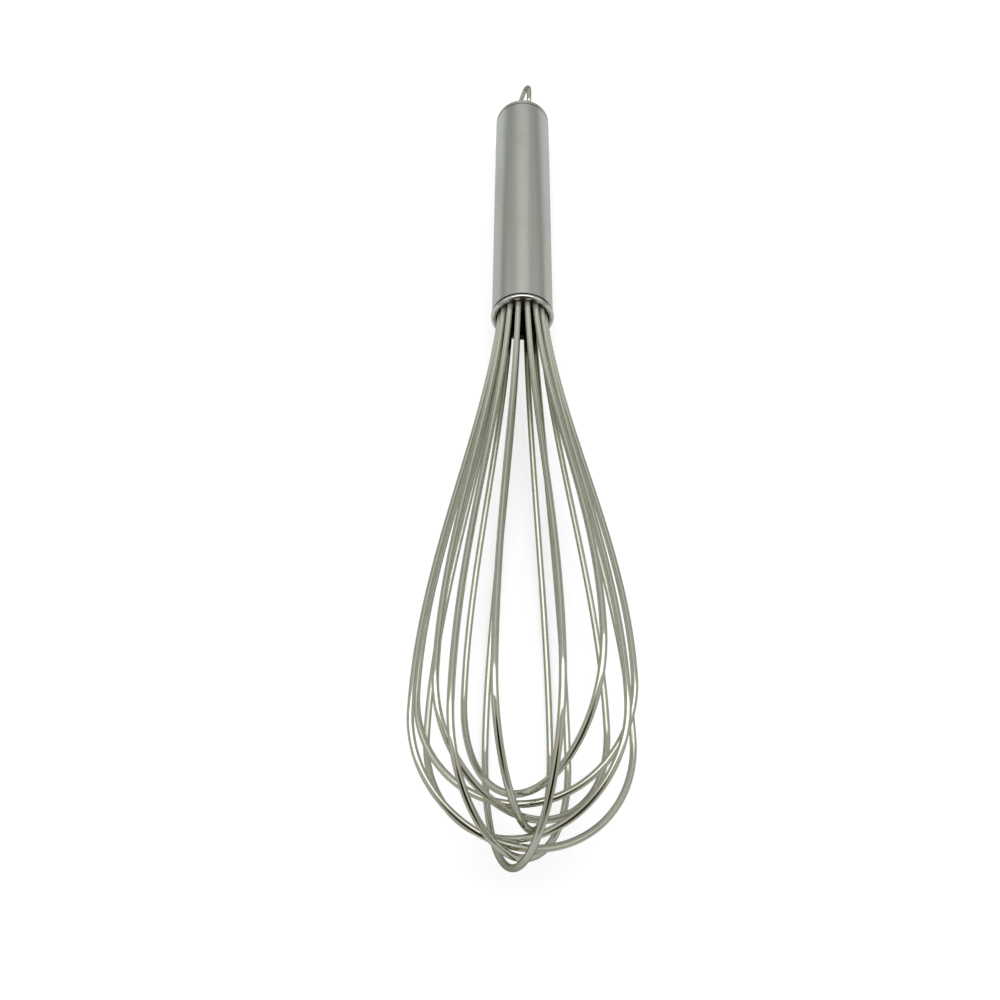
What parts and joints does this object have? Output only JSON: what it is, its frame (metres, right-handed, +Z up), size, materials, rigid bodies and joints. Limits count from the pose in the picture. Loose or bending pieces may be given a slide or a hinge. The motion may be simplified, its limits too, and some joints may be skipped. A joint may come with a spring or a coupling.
{
  "type": "balloon whisk",
  "caption": "Balloon whisk: sprung wire loops gripped in the ringed mouth of a satin steel tube handle, with a capped end and a swivelling wire hanging loop.",
  "frame": {"origin": "bottom centre of the whisk's box as it lies on a table, on its lowest wires and the rim of its end cap", "axes": "+Y along the whisk from the balloon to the handle, seen from above; +X to the right with the handle pointing away; +Z up. The whisk's own axis drops 4.67 degrees towards the handle's end."},
  "size_m": [0.0638, 0.3234, 0.068],
  "materials": {
    "handle_steel": "satin stainless steel, brushed along the tube",
    "ring_steel": "polished stainless steel",
    "wire_steel": "bright drawn stainless steel wire",
    "core_resin": "dark cast resin"
  },
  "bodies": {
    "whisk": {"handle_tube": "handle_steel", "end_cap": "handle_steel", "mouth_ring": "ring_steel", "wire_core": "core_resin", "wire_loop_1": "wire_steel", "wire_loop_2": "wire_steel", "wire_loop_3": "wire_steel", "wire_loop_4": "wire_steel", "wire_loop_5": "wire_steel", "wire_loop_6": "wire_steel", "wire_loop_7": "wire_steel", "wire_loop_8": "wire_steel"},
    "hanger": {"hanging_loop": "wire_steel"}
  },
  "joints": [
    {"name": "hanger_swivel", "type": "hinge", "parent": "whisk", "child": "hanger", "pos_m": [-0.0008, 0.14278, 0.0109], "axis": [0, 0.9967, -0.0814], "continuous": true}
  ]
}
